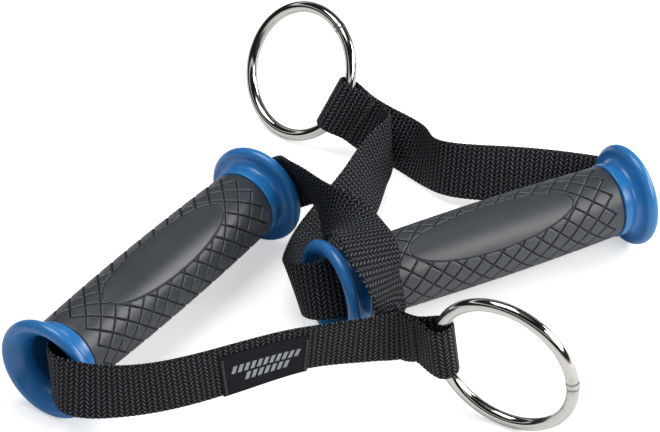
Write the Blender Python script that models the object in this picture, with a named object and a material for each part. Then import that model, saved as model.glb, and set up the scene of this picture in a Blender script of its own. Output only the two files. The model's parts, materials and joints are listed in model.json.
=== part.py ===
"""A pair of cable handles lying in a loose pile, as they come out of the gym bag.

Each handle is a rubber grip on a core tube, closed at both ends by a flange with a trumpet mouth.
A closed loop of webbing runs through the tube, over the flanges and round a steel ring.
The left handle lies in front, and its strap crosses over the near end of the right handle.
Both handles and both rings rest on the floor. X runs to the right, Y away and Z up.
"""
import math

import bmesh
import bpy
import numpy as np
from mathutils import Matrix, Vector

MM = 0.001

# Webbing and the sewing in it
WEBBING_WIDTH = 25.4 * MM
WEBBING_THICKNESS = 1.6 * MM
PLY_GAP = 0.4 * MM
THREAD_THICKNESS = 0.5 * MM
TACK_WIDTH = 2.4 * MM
TACK_EDGE_MARGIN = 2.2 * MM
TACK_SETBACK = 12.5 * MM
PLY_MEETING_SETBACK = 10.4 * MM
STRAP_STATION_SPACING = 6.0 * MM
STRAP_STATION_TURN = math.radians(26)
SELVEDGE_SHARE = 0.55

# Label on the left strap
LABEL_LENGTH = 38.5 * MM
LABEL_HEIGHT = 21.0 * MM
LABEL_THICKNESS = 0.6 * MM
LABEL_START = 78.0 * MM
LABEL_STITCH_WIDTH = 0.9 * MM
LABEL_STITCH_MARGIN = 1.4 * MM

# Clearances
TOUCH_GAP = 0.3 * MM
BORE_CLEARANCE = 0.5 * MM

# Core tube and rubber grip
TUBE_WALL = 1.2 * MM
GRIP_END_WALL = 1.3 * MM
GRIP_CROWN = 1.2 * MM
GRIP_END_ROUND = 0.8 * MM
HANDLE_LENGTH = 155.0 * MM

# Flange
LIP_RADIUS = 23.0 * MM
LIP_TUBE_RADIUS = 2.75 * MM
FLANGE_DEPTH = 13.6 * MM
TRUMPET_DEPTH = 9.6 * MM
VALLEY_WALL = 1.1 * MM
VALLEY_DEPTH = 8.4 * MM
COLLAR_WALL = 1.8 * MM
COLLAR_LENGTH = 4.4 * MM
COLLAR_ROUND = 0.7 * MM
LIP_INNER_TURN = math.radians(50)

# Steel ring
RING_RADIUS = 30.2 * MM
RING_WIRE_RADIUS = 2.7 * MM
WELD_BULGE = 0.25 * MM
WELD_LENGTH = 5.0 * MM

# Facets
ROUND_STEPS = 32
WIRE_STEPS = 10
RING_STEPS = 48
BARREL_STEPS = 6
ARC_STEPS = 3

# Sizes that follow from those above
BORE_RADIUS = math.hypot(WEBBING_WIDTH / 2, WEBBING_THICKNESS / 2) + BORE_CLEARANCE
TUBE_RADIUS = BORE_RADIUS + TUBE_WALL
SOCKET_RADIUS = TUBE_RADIUS + TOUCH_GAP
GRIP_END_RADIUS = SOCKET_RADIUS + GRIP_END_WALL
GRIP_MIDDLE_RADIUS = GRIP_END_RADIUS + GRIP_CROWN
WIRE_SAG = RING_RADIUS - math.sqrt(RING_RADIUS ** 2 - (WEBBING_WIDTH / 2) ** 2)
POCKET_RADIUS = RING_WIRE_RADIUS + WIRE_SAG / 2 + TOUCH_GAP + WEBBING_THICKNESS / 2
PLY_OFFSET = (PLY_GAP + WEBBING_THICKNESS) / 2
STRAP_FACE = WEBBING_THICKNESS / 2 + TOUCH_GAP

# Where each handle lies: its middle in lip radii, and the yaw of its axis, near end first
HANDLES = {
    "left": {"middle_share": (-3.198, -3.403), "yaw": math.radians(56.77)},
    "right": {"middle_share": (2.865, -2.27), "yaw": math.radians(28.89)},
}

# Where each strap holds its ring: the pocket's place in lip radii, the way the strap leads
# away from the ring, the way the wire runs in the pocket, and how far the ring has swung
# about the wire from the strap's own line
POCKETS = {
    "left": {
        "place_share": (1.979, -5.905),
        "leads": (-0.855, 0.512, -0.086),
        "wire": (-0.125, -0.043, 0.991),
        "swing": math.radians(0.0),
        "weld": math.radians(162),
    },
    "right": {
        "place_share": (0.19, 2.389),
        "leads": (0.83, -0.432, -0.353),
        "wire": (0.461, 0.174, 0.87),
        "swing": math.radians(-24.0),
        "weld": math.radians(28),
    },
}

# Each strap leg from its mouth to its pocket, as a list of places that it passes.
# A place is what it is measured from, its offset from there in lip radii, and the way the
# strap's upper edge points there. The first entry is the way of that edge inside the tube, and
# the last is how far the leg runs tight against the other one behind the ring.
LEGS = {
    ("left", "near"): {
        "edge_in_tube": (-0.16, 0.12, 0.98),
        "place_shares": [
            ("mouth", (0.176, -0.217, 0.09), (-0.04, 0.07, 0.96)),
            ("mouth", (0.346, -0.477, 0.12), (-0.01, 0.20, 1.08)),
            ("mouth", (1.146, -0.657, 0.10), (-0.10, 0.09, 0.80)),
            ("halfway", (0.224, -0.196, 0.13), (0.03, -0.03, 0.75)),
            ("halfway", (1.134, 0.174, 0.14), (0.30, -0.08, 1.10)),
            ("pocket", (-1.06, 0.375, -0.078), (0.35, 0.03, 0.90)),
        ],
        "ply_run": 10.3 * MM,
    },
    ("left", "far"): {
        "edge_in_tube": (-0.33, 0.21, 0.92),
        "place_shares": [
            ("mouth", (0.280, 0.003, 0.077), (-0.48, 0.44, 0.76)),
            ("mouth", (0.639, -0.295, 0.435), (-0.47, 0.44, 0.76)),
            ("mouth", (0.739, -0.432, 0.521), (-0.41, 0.09, 0.91)),
            ("crossing", (-0.458, 1.001, -0.026), (0.36, 0.43, 0.83)),
            ("crossing", (0.014, 0.065, 0.339), (0.97, 0.23, -0.10)),
            ("crossing", (0.451, -0.864, -0.232), (0.15, 0.86, 0.48)),
            ("pocket", (-0.786, 1.345, -0.347), (0.15, 0.19, 0.97)),
        ],
        "ply_run": 4.8 * MM,
    },
    ("right", "far"): {
        "edge_in_tube": (-0.22, 0.44, 0.87),
        "place_shares": [
            ("mouth", (-0.09, 0.251, -0.15), (-0.06, 0.50, 0.79)),
            ("mouth", (-0.11, 0.541, -0.27), (-0.07, 0.49, 0.81)),
            ("mouth", (-0.36, 0.851, -0.41), (0.02, 0.47, 0.82)),
            ("halfway", (0.685, -0.414, -0.351), (0.0, 0.50, 0.84)),
            ("pocket", (1.87, -1.559, -0.392), (-0.05, 0.35, 0.78)),
            ("pocket", (1.52, -0.919, -0.492), (0.33, 0.40, 1.01)),
        ],
        "ply_run": 10.3 * MM,
    },
    ("right", "near"): {
        "edge_in_tube": (-0.22, 0.44, 0.87),
        "place_shares": [
            ("mouth", (-0.26, 0.129, -0.05), (-0.25, 0.40, 0.93)),
            ("mouth", (-0.51, 0.339, -0.17), (-0.25, 0.33, 0.76)),
            ("mouth", (-0.49, 1.149, -0.44), (-0.46, 0.57, 0.76)),
            ("halfway", (-0.18, -0.655, -0.551), (-0.67, 0.27, 0.67)),
            ("halfway", (0.49, 0.465, -0.311), (-0.57, 0.45, 0.78)),
            ("pocket", (0.68, -1.779, -0.262), (-0.34, -0.06, 0.58)),
            ("pocket", (0.94, -1.149, -0.242), (-0.07, 0.49, 1.11)),
            ("pocket", (0.99, -0.679, -0.272), (0.02, -0.14, 1.13)),
        ],
        "ply_run": 10.3 * MM,
    },
}
TUBE_KNOT_SHARES = (0.6, 1.2, 2.1)
CROSSING_FROM_RIM = 17.0 * MM

# Which end of each handle the strap leaves first on its way round the loop
FIRST_END = {"left": "near", "right": "far"}

FINISHES = {
    "rubber": {"colour": (0.075, 0.08, 0.09), "roughness": 0.55, "metallic": 0.0},
    "flange_plastic": {"colour": (0.01, 0.10, 0.34), "roughness": 0.35, "metallic": 0.0},
    "tube_plastic": {"colour": (0.03, 0.03, 0.03), "roughness": 0.5, "metallic": 0.0},
    "webbing": {"colour": (0.012, 0.013, 0.014), "roughness": 0.8, "metallic": 0.0},
    "thread": {"colour": (0.02, 0.02, 0.022), "roughness": 0.7, "metallic": 0.0},
    "label_cloth": {"colour": (0.015, 0.016, 0.02), "roughness": 0.65, "metallic": 0.0},
    "steel": {"colour": (0.62, 0.60, 0.57), "roughness": 0.12, "metallic": 1.0},
}


def clear_scene():
    """Remove every object that the file opened with."""
    for old in list(bpy.data.objects):
        bpy.data.objects.remove(old, do_unlink=True)


def unit(vector):
    """The vector at length one."""
    vector = np.asarray(vector, dtype=float)
    return vector / np.linalg.norm(vector)


def turned(vector, axis, angle):
    """The vector turned about an axis through the origin."""
    return np.array(Matrix.Rotation(angle, 3, Vector(axis)) @ Vector(vector))


def material_for(finish, name):
    """A Principled material of its own for one piece."""
    look = FINISHES[finish]
    material = bpy.data.materials.new(name)
    material.use_nodes = True
    shader = material.node_tree.nodes["Principled BSDF"]
    shader.inputs["Base Color"].default_value = (*look["colour"], 1)
    shader.inputs["Roughness"].default_value = look["roughness"]
    shader.inputs["Metallic"].default_value = look["metallic"]
    material.diffuse_color = (*look["colour"], 1)
    return material


def add_piece(name, mesh_data, finish, origin=(0, 0, 0)):
    """Turn a bmesh in world places into a named object whose origin is the given point."""
    bmesh.ops.recalc_face_normals(mesh_data, faces=mesh_data.faces)
    bmesh.ops.translate(mesh_data, verts=mesh_data.verts, vec=-Vector(origin))
    mesh = bpy.data.meshes.new(name)
    mesh_data.to_mesh(mesh)
    mesh_data.free()
    mesh.shade_smooth()
    mesh.set_sharp_from_angle(angle=math.radians(35))
    mesh.materials.append(material_for(finish, name))
    piece = bpy.data.objects.new(name, mesh)
    piece.location = origin
    bpy.context.scene.collection.objects.link(piece)
    return piece


def arc(centre, radius, start, end, steps):
    """Points (along, out) on an arc, both ends included."""
    angles = np.linspace(start, end, steps + 1)
    return [(centre[0] + radius * math.cos(a), centre[1] + radius * math.sin(a)) for a in angles]


def ease(start, corner, end, steps):
    """Points after the start on a curve that leaves and arrives along the lines to the corner."""
    shares = [(i + 1) / steps for i in range(steps)]
    return [
        tuple((1 - s) ** 2 * a + 2 * s * (1 - s) * b + s ** 2 * c for a, b, c in zip(start, corner, end))
        for s in shares
    ]


def turn_profile(profile, frame):
    """Spin a closed outline of (along, out) points about the local X axis into a solid."""
    shape = bmesh.new()
    rim = [shape.verts.new((along, 0, -out)) for along, out in profile]
    edges = [shape.edges.new((a, b)) for a, b in zip(rim, rim[1:] + rim[:1])]
    bmesh.ops.spin(
        shape, geom=rim + edges, cent=(0, 0, 0), axis=(1, 0, 0),
        angle=math.tau, steps=ROUND_STEPS, use_merge=True,
    )
    bmesh.ops.transform(shape, matrix=frame, verts=shape.verts)
    return shape


def grip_profile():
    """Barrel outline of the rubber sleeve, thickest in the middle, from end to end."""
    half = HANDLE_LENGTH / 2 - FLANGE_DEPTH - TOUCH_GAP
    outline = [(-half, SOCKET_RADIUS), (-half, GRIP_END_RADIUS - GRIP_END_ROUND)]
    for i in range(BARREL_STEPS + 1):
        share = 2 * i / BARREL_STEPS - 1
        along = share * (half - GRIP_END_ROUND)
        outline.append((along, GRIP_MIDDLE_RADIUS - GRIP_CROWN * share ** 2))
    outline += [(half, GRIP_END_RADIUS - GRIP_END_ROUND), (half, SOCKET_RADIUS)]
    return outline


def tube_profile():
    """Plain pipe that reaches into the socket of both flanges."""
    half = HANDLE_LENGTH / 2 - TRUMPET_DEPTH - TOUCH_GAP
    return [(-half, BORE_RADIUS), (-half, TUBE_RADIUS), (half, TUBE_RADIUS), (half, BORE_RADIUS)]


def flange_profile():
    """Rolled lip, valley and collar outside, trumpet and socket inside, from the rim inwards."""
    lip_centre = (LIP_TUBE_RADIUS, LIP_RADIUS - LIP_TUBE_RADIUS)
    valley = SOCKET_RADIUS + VALLEY_WALL
    collar = SOCKET_RADIUS + COLLAR_WALL
    collar_start = FLANGE_DEPTH - COLLAR_LENGTH
    outline = arc(lip_centre, LIP_TUBE_RADIUS, math.pi + LIP_INNER_TURN, math.pi / 2, 5)
    outline += arc(lip_centre, LIP_TUBE_RADIUS, math.pi / 2, 0, 3)[1:]
    outline += ease(outline[-1], (outline[-1][0], valley), (VALLEY_DEPTH, valley), ARC_STEPS)
    outline += ease(outline[-1], (collar_start, collar), (FLANGE_DEPTH - COLLAR_ROUND, collar), 3)
    outline += ease(outline[-1], (FLANGE_DEPTH, collar), (FLANGE_DEPTH, collar - COLLAR_ROUND), 2)
    outline += [(FLANGE_DEPTH, SOCKET_RADIUS), (TRUMPET_DEPTH, SOCKET_RADIUS)]
    bore_end = (TRUMPET_DEPTH, BORE_RADIUS)
    lip_inside = outline[0]
    slope = math.tan(LIP_INNER_TURN)
    corner = (lip_inside[0] + (lip_inside[1] - BORE_RADIUS) / slope, BORE_RADIUS)
    outline += [bore_end] + ease(bore_end, corner, lip_inside, ARC_STEPS + 1)[:-1]
    return outline


def handle_axis(side):
    """Unit vector along a handle, from its near end to its far end."""
    yaw = HANDLES[side]["yaw"]
    return np.array([math.cos(yaw), math.sin(yaw), 0])


def handle_middle(side):
    """Middle of a handle, lying on its two rims."""
    across, away = HANDLES[side]["middle_share"]
    return np.array([across * LIP_RADIUS, away * LIP_RADIUS, LIP_RADIUS])


def mouth(side, end):
    """Centre of a flange's rim plane, and the way out of it."""
    out = handle_axis(side) * (-1 if end == "near" else 1)
    return handle_middle(side) + out * HANDLE_LENGTH / 2, out


def build_handle(side):
    """Grip, core tube and two flanges on one axis."""
    middle = handle_middle(side)
    frame = Matrix.Translation(middle) @ Matrix.Rotation(HANDLES[side]["yaw"], 4, "Z")
    add_piece(side + "_grip", turn_profile(grip_profile(), frame), "rubber", middle)
    add_piece(side + "_core_tube", turn_profile(tube_profile(), frame), "tube_plastic", middle)
    for end, facing in (("near", 1), ("far", -1)):
        rim = Matrix.Translation((-facing * HANDLE_LENGTH / 2, 0, 0))
        turn = Matrix.Rotation(0 if facing == 1 else math.pi, 4, "Z")
        shape = turn_profile(flange_profile(), frame @ rim @ turn)
        add_piece(f"{side}_flange_{end}", shape, "flange_plastic", middle)


def pocket(side):
    """The strap's fold round the ring: its axis point and directions, and the ring's own place."""
    place = POCKETS[side]
    wire = unit(place["wire"])
    leads = np.array(place["leads"])
    leads = unit(leads - leads.dot(wire) * wire)
    spoke = turned(leads, wire, place["swing"])
    normal = np.cross(wire, spoke)
    reach = RING_RADIUS - WIRE_SAG / 2
    ring_height = RING_RADIUS * math.sqrt(1 - normal[2] ** 2) + RING_WIRE_RADIUS
    across, away = place["place_share"]
    point = np.array([across * LIP_RADIUS, away * LIP_RADIUS, ring_height + spoke[2] * reach])
    return {
        "point": point, "wire": wire, "leads": leads, "spoke": spoke,
        "normal": normal, "ring_centre": point - spoke * reach,
    }


def build_ring(side):
    """Round wire ring with a slight swelling at its weld, turning about the fold that holds it."""
    hold = pocket(side)
    weld = POCKETS[side]["weld"]
    weld_angle = WELD_LENGTH / RING_RADIUS
    shape = bmesh.new()
    rings = []
    for i in range(RING_STEPS):
        angle = math.tau * i / RING_STEPS
        off_weld = (angle - weld + math.pi) % math.tau - math.pi
        thick = RING_WIRE_RADIUS + WELD_BULGE * math.exp(-(2 * off_weld / weld_angle) ** 2)
        out = math.cos(angle) * hold["spoke"] + math.sin(angle) * hold["wire"]
        centre = hold["ring_centre"] + out * RING_RADIUS
        section = []
        for j in range(WIRE_STEPS):
            turn = math.tau * j / WIRE_STEPS
            offset = math.cos(turn) * out + math.sin(turn) * hold["normal"]
            section.append(shape.verts.new(centre + offset * thick))
        rings.append(section)
    skin_rings(shape, rings)
    return add_piece(side + "_ring", shape, "steel", hold["point"])


def skin_rings(shape, rings, closed=True):
    """Join each ring of vertices to the next, and cap the two ends of an open run."""
    pairs = list(zip(rings, rings[1:]))
    if closed:
        pairs.append((rings[-1], rings[0]))
    for first, second in pairs:
        for i in range(len(first)):
            j = (i + 1) % len(first)
            shape.faces.new((first[i], first[j], second[j], second[i]))
    if not closed:
        shape.faces.new(rings[0])
        shape.faces.new(rings[-1])


def crossing():
    """Where the left strap lies over the right handle: on top of the grip, near its near rim."""
    rim, out = mouth("right", "near")
    return rim - out * CROSSING_FROM_RIM + np.array([0, 0, GRIP_MIDDLE_RADIUS])


def leg_knots(side, end, ply):
    """Places and edge directions along one leg of a strap, from inside the tube to its pocket."""
    rim, out = mouth(side, end)
    hold = pocket(side)
    leg = LEGS[side, end]
    origins = {
        "mouth": rim,
        "pocket": hold["point"],
        "halfway": (rim + hold["point"]) / 2,
        "crossing": crossing(),
    }
    places = [rim - out * share * LIP_RADIUS for share in reversed(TUBE_KNOT_SHARES)]
    edges = [leg["edge_in_tube"]] * len(places)
    for name, offset_share, edge in leg["place_shares"]:
        places.append(origins[name] + np.array(offset_share) * LIP_RADIUS)
        edges.append(edge)
    beside = ply * PLY_OFFSET * np.cross(hold["leads"], hold["wire"])
    for setback in (PLY_MEETING_SETBACK + leg["ply_run"], PLY_MEETING_SETBACK):
        places.append(hold["point"] + setback * hold["leads"] + beside)
        edges.append(hold["wire"])
    return places, edges


def fold_knots(side):
    """Places round the ring's wire, from the ply at -1 to the ply at +1."""
    hold = pocket(side)
    beside = np.cross(hold["leads"], hold["wire"])
    reach = math.hypot(PLY_MEETING_SETBACK, PLY_OFFSET)
    tangent = math.acos(POCKET_RADIUS / reach) + math.atan2(PLY_OFFSET, PLY_MEETING_SETBACK)
    angles = np.linspace(-tangent, tangent - math.tau, 9)
    places = [
        hold["point"] + POCKET_RADIUS * (math.cos(a) * hold["leads"] + math.sin(a) * beside)
        for a in angles
    ]
    return places, [hold["wire"]] * len(places)


def closed_spline(knots, times, period, samples):
    """Read a smooth closed curve through the knots at the sample times."""
    count = len(knots)
    steps = np.diff(np.append(times, period))
    before = np.roll(steps, 1)
    slopes = (np.roll(knots, -1, axis=0) - knots) / steps[:, None]
    system = np.zeros((count, count))
    for i in range(count):
        system[i, i - 1] += before[i]
        system[i, i] += 2 * (before[i] + steps[i])
        system[i, (i + 1) % count] += steps[i]
    bends = np.linalg.solve(system, 6 * (slopes - np.roll(slopes, 1, axis=0)))
    index = np.searchsorted(times, samples, side="right") - 1
    after = (index + 1) % count
    step = steps[index][:, None]
    here = ((samples - times[index]) / steps[index])[:, None]
    there = 1 - here
    curve = there * knots[index] + here * knots[after]
    bow = (there ** 3 - there) * bends[index] + (here ** 3 - here) * bends[after]
    return curve + bow * step ** 2 / 6


def strap_path(side):
    """Finely sampled middle line of a strap's loop, with its edge and face directions."""
    first = FIRST_END[side]
    second = "far" if first == "near" else "near"
    going, going_edges = leg_knots(side, first, -1)
    round_wire, round_edges = fold_knots(side)
    coming, coming_edges = leg_knots(side, second, 1)
    knots = np.array(going + round_wire + coming[::-1])
    edges = np.array([unit(e) for e in going_edges + round_edges + coming_edges[::-1]])
    lengths = np.linalg.norm(np.roll(knots, -1, axis=0) - knots, axis=1)
    times = np.concatenate([[0], np.cumsum(lengths)[:-1]])
    period = lengths.sum()
    samples = np.linspace(0, period, 3000, endpoint=False)
    line = closed_spline(knots, times, period, samples)
    along = np.roll(line, -1, axis=0) - np.roll(line, 1, axis=0)
    along /= np.linalg.norm(along, axis=1)[:, None]
    edge = closed_spline(edges, times, period, samples)
    edge -= (edge * along).sum(axis=1)[:, None] * along
    edge /= np.linalg.norm(edge, axis=1)[:, None]
    steps = np.linalg.norm(np.roll(line, -1, axis=0) - line, axis=1)
    run = np.concatenate([[0], np.cumsum(steps)[:-1]])
    turns = np.arccos(np.clip((along * np.roll(along, -1, axis=0)).sum(axis=1), -1, 1))
    return {
        "line": line, "along": along, "edge": edge, "face": np.cross(along, edge),
        "run": run, "length": steps.sum(), "turned": np.concatenate([[0], np.cumsum(turns)[:-1]]),
    }


def path_frame(path, run):
    """Point, edge and face directions of a strap at a distance along its loop."""
    read = [
        np.array([np.interp(run, path["run"], path[key][:, i]) for i in range(3)])
        for key in ("line", "edge", "face")
    ]
    return read[0], unit(read[1]), unit(read[2])


def strap_section():
    """Flat outline of the webbing, its two edges rounded, as (across, out) pairs."""
    wide = WEBBING_WIDTH / 2
    thick = WEBBING_THICKNESS / 2
    shoulder = wide - thick
    corner = thick * SELVEDGE_SHARE
    return [
        (-wide, corner), (-wide, -corner), (-shoulder, -thick), (0, -thick), (shoulder, -thick),
        (wide, -corner), (wide, corner), (shoulder, thick), (0, thick), (-shoulder, thick),
    ]


def build_strap(side, path):
    """Closed loop of webbing, with sections closer together where it bends."""
    effort = path["run"] / STRAP_STATION_SPACING + path["turned"] / STRAP_STATION_TURN
    count = round(effort[-1])
    wanted = np.linspace(0, effort[-1], count, endpoint=False)
    shape = bmesh.new()
    rings = []
    for run in np.interp(wanted, effort, path["run"]):
        point, edge, face = path_frame(path, run)
        rings.append([shape.verts.new(point + edge * a + face * o) for a, o in strap_section()])
    skin_rings(shape, rings)
    return add_piece(side + "_strap", shape, "webbing")


def lay_on_strap(name, path, start, end, low, high, outer, lift, thickness, finish):
    """A thin flat piece that follows one face of a strap between two distances along it."""
    count = max(2, math.ceil((end - start) / STRAP_STATION_SPACING) + 1)
    shape = bmesh.new()
    rings = []
    for run in np.linspace(start, end, count):
        point, edge, face = path_frame(path, run)
        face = face * outer
        corners = [(low, lift), (high, lift), (high, lift + thickness), (low, lift + thickness)]
        rings.append([shape.verts.new(point + edge * a + face * o) for a, o in corners])
    skin_rings(shape, rings, closed=False)
    return add_piece(name, shape, finish)


def run_nearest(path, point):
    """Distance along the loop at which a strap passes closest to a point."""
    return path["run"][np.argmin(np.linalg.norm(path["line"] - point, axis=1))]


def build_tacks(side, path):
    """One stitched row across each ply behind the ring, on its outer face."""
    hold = pocket(side)
    beside = PLY_OFFSET * np.cross(hold["leads"], hold["wire"])
    reach = WEBBING_WIDTH / 2 - TACK_EDGE_MARGIN
    for ply, name in ((-1, "front"), (1, "back")):
        seat = hold["point"] + hold["leads"] * TACK_SETBACK + ply * beside
        middle = run_nearest(path, seat)
        outer = math.copysign(1, path_frame(path, middle)[2].dot(ply * beside))
        lay_on_strap(
            f"{side}_tack_{name}", path, middle - TACK_WIDTH / 2, middle + TACK_WIDTH / 2,
            -reach, reach, outer, STRAP_FACE, THREAD_THICKNESS, "thread",
        )


def build_label(side, path):
    """Woven label on the outer face of the first leg, with a stitched line at each end."""
    rim, out = mouth(side, FIRST_END[side])
    start = run_nearest(path, rim) + LABEL_START
    end = start + LABEL_LENGTH
    low = -WEBBING_WIDTH / 2
    high = low + LABEL_HEIGHT
    middle_face = path_frame(path, (start + end) / 2)[2]
    outer = math.copysign(1, -middle_face[1])
    lay_on_strap(
        side + "_label", path, start, end, low, high, outer,
        STRAP_FACE, LABEL_THICKNESS, "label_cloth",
    )
    lift = STRAP_FACE + LABEL_THICKNESS + TOUCH_GAP
    for name, edge_run in (("start", start + LABEL_STITCH_MARGIN), ("end", end - LABEL_STITCH_MARGIN)):
        lay_on_strap(
            f"{side}_label_stitch_{name}", path,
            edge_run - LABEL_STITCH_WIDTH / 2, edge_run + LABEL_STITCH_WIDTH / 2,
            low + LABEL_STITCH_MARGIN, high - LABEL_STITCH_MARGIN, outer,
            lift, THREAD_THICKNESS, "thread",
        )


def centre_on_origin():
    """Slide the whole pile so that the middle of its footprint is the origin."""
    pieces = [o for o in bpy.data.objects if o.type == "MESH"]
    corners = np.array([tuple(o.location + v.co) for o in pieces for v in o.data.vertices])
    low = corners.min(axis=0)
    high = corners.max(axis=0)
    shift = Vector((-(low[0] + high[0]) / 2, -(low[1] + high[1]) / 2, -low[2]))
    for piece in pieces:
        piece.location += shift


def main():
    """Build both handles with their straps, rings, sewing and label."""
    clear_scene()
    for side in HANDLES:
        build_handle(side)
        build_ring(side)
        path = strap_path(side)
        build_strap(side, path)
        build_tacks(side, path)
        if side == "left":
            build_label(side, path)
    centre_on_origin()


main()
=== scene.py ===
"""Finished surfaces of a pair of cable handles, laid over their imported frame.

Laid out as an add-on and run as a script: each operator makes one group of pieces, in metres, in
the frame's own axes. The webbing repeats the routes of the solids, so both lie in one place.
"""
import json
import math

import bpy
import numpy as np
from mathutils import Matrix, Vector


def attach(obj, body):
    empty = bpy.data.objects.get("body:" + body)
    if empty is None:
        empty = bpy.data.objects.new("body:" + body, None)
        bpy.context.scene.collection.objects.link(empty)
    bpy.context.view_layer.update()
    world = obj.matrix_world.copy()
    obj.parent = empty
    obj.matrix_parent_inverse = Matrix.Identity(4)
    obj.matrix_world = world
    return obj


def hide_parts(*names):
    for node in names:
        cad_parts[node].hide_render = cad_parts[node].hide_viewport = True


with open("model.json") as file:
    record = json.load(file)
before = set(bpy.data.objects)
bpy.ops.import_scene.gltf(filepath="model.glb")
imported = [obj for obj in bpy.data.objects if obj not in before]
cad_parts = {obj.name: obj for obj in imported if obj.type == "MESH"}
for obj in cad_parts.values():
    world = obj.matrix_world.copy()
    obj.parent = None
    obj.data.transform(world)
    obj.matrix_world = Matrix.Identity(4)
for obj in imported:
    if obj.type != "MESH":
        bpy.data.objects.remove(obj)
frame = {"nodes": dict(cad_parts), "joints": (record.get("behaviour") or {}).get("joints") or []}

bl_info = {
    "name": "Cable handle pair",
    "version": (1, 0, 0),
    "blender": (4, 5, 0),
    "location": "3D View > Sidebar > Handles",
    "description": "Rubber grips, blue flanges, woven straps and steel rings of two cable handles",
    "category": "Object",
}

MM = 0.001

# Webbing, and how far behind the ring its two plies meet
WEBBING_WIDTH = 25.4 * MM
WEBBING_THICKNESS = 1.6 * MM
PLY_GAP = 0.4 * MM
PLY_MEETING_SETBACK = 10.4 * MM

# Ribs of the weave: how round they are, as a power, and how far the edge dips between two of
# them, in rib heights
RIB_ROUNDING = 0.55
EDGE_DIP_SHARE = 1.3

# Gathering of the webbing on the inside of a bend in its own plane: the stretch on which the bend
# is read, the bend at which it starts, as half the width over the bend's radius, how far along the
# strap it spreads, and how firmly it pulls
BEND_SPREAD = 2.0 * MM
GATHER_ONSET = 0.9
GATHER_REACH = 11.0 * MM
GATHER_FIRMNESS = 5.5

# Thread, and how far it arches between two holes
THREAD_RADIUS = 0.26 * MM
THREAD_ARCH = 0.12 * MM

# Sewing behind each ring
TACK_SWING = 2.04 * MM
TACK_EDGE_MARGIN = 2.2 * MM
TACK_SETBACK = 12.5 * MM
TACK_LIFT = 0.22 * MM
TACK_TURNS = 12

# Label on the left strap, and the sewing at its ends
LABEL_LENGTH = 38.5 * MM
LABEL_HEIGHT = 21.0 * MM
LABEL_THICKNESS = 0.6 * MM
LABEL_START = 78.0 * MM
LABEL_LIFT = 0.15 * MM
LABEL_WEFT_PITCH = 0.9 * MM
LABEL_WARP_PITCH = 0.6 * MM
LABEL_STITCH_WIDTH = 0.9 * MM
LABEL_STITCH_MARGIN = 1.4 * MM
LABEL_STITCH_LIFT = 0.1 * MM
LABEL_STITCH_TURNS = 16

# Rows of slanted bars on the label: middle across it from -1 to 1, start and stop along it as
# shares of its length, and how many bars. Then how far the bars lean, and where a bar and a row
# fade out, counted from their middle lines
LABEL_ROWS = ((0.22, 0.12, 0.90, 11), (-0.24, 0.26, 0.78, 7))
BAR_SLANT = 0.10
BAR_FADE = (0.34, 0.26)
ROW_FADE = (0.19, 0.16)

# Clearances
TOUCH_GAP = 0.3 * MM
BORE_CLEARANCE = 0.5 * MM

# Core tube and rubber grip
TUBE_WALL = 1.2 * MM
GRIP_END_WALL = 1.3 * MM
GRIP_CROWN = 1.2 * MM
GRIP_END_ROUND = 0.8 * MM
HANDLE_LENGTH = 155.0 * MM

# Flange
LIP_RADIUS = 23.0 * MM
LIP_TUBE_RADIUS = 2.75 * MM
FLANGE_DEPTH = 13.6 * MM
TRUMPET_DEPTH = 9.6 * MM
VALLEY_WALL = 1.1 * MM
VALLEY_DEPTH = 8.4 * MM
COLLAR_WALL = 1.8 * MM
COLLAR_LENGTH = 4.4 * MM
COLLAR_ROUND = 0.7 * MM
LIP_INNER_TURN = math.radians(50)

# Smooth oval panel of each grip: how far round the handle its middle lies, counted from the
# level direction square to the handle's axis, and where it starts and stops along the handle
PANEL_FACES = {"left": math.radians(107.9), "right": math.radians(121.2)}
PANEL_SPAN_SHARES = (-0.265, 0.256)
PANEL_HALF_ANGLE = math.radians(37.5)
PANEL_TO_TIP = math.radians(43.0)
PANEL_SINK = 0.15 * MM
PANEL_BLEND = 0.15 * MM

# Fine line cut round the panel: how far outside its outline, how wide, and how deep as a share of
# a groove
PANEL_LINE_OFFSET = 0.15 * MM
PANEL_LINE_WIDTH = 0.5 * MM
PANEL_LINE_SHARE = 0.6

# Where the painted shade of a groove and the painted highlight on the raised brim beside it fade
# out, in halves of the groove's width
GROOVE_FADE = (1.05, 0.5)
BRIM_FADE = (2.4, 1.4)

# Steel ring, and its weld: a lumpy swelling with a seam on each side of its middle
RING_RADIUS = 30.2 * MM
RING_WIRE_RADIUS = 2.7 * MM
WELD_RISE = 0.2 * MM
WELD_REACH = 2.1 * MM
WELD_LUMPINESS = 0.35
WELD_LUMP_TURN = 0.6
SEAM_FROM_MIDDLE = 1.4 * MM
SEAM_WIDTH = 0.45 * MM
SEAM_DEPTH = 0.16 * MM

# Sizes that follow from those above
BORE_RADIUS = math.hypot(WEBBING_WIDTH / 2, WEBBING_THICKNESS / 2) + BORE_CLEARANCE
TUBE_RADIUS = BORE_RADIUS + TUBE_WALL
SOCKET_RADIUS = TUBE_RADIUS + TOUCH_GAP
GRIP_END_RADIUS = SOCKET_RADIUS + GRIP_END_WALL
GRIP_MIDDLE_RADIUS = GRIP_END_RADIUS + GRIP_CROWN
WIRE_SAG = RING_RADIUS - math.sqrt(RING_RADIUS ** 2 - (WEBBING_WIDTH / 2) ** 2)
POCKET_RADIUS = RING_WIRE_RADIUS + WIRE_SAG / 2 + TOUCH_GAP + WEBBING_THICKNESS / 2
PLY_OFFSET = (PLY_GAP + WEBBING_THICKNESS) / 2

# Where each handle lies: its middle in lip radii, and the yaw of its axis, near end first
HANDLES = {
    "left": {"middle_share": (-3.198, -3.403), "yaw": math.radians(56.77)},
    "right": {"middle_share": (2.865, -2.27), "yaw": math.radians(28.89)},
}

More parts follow.
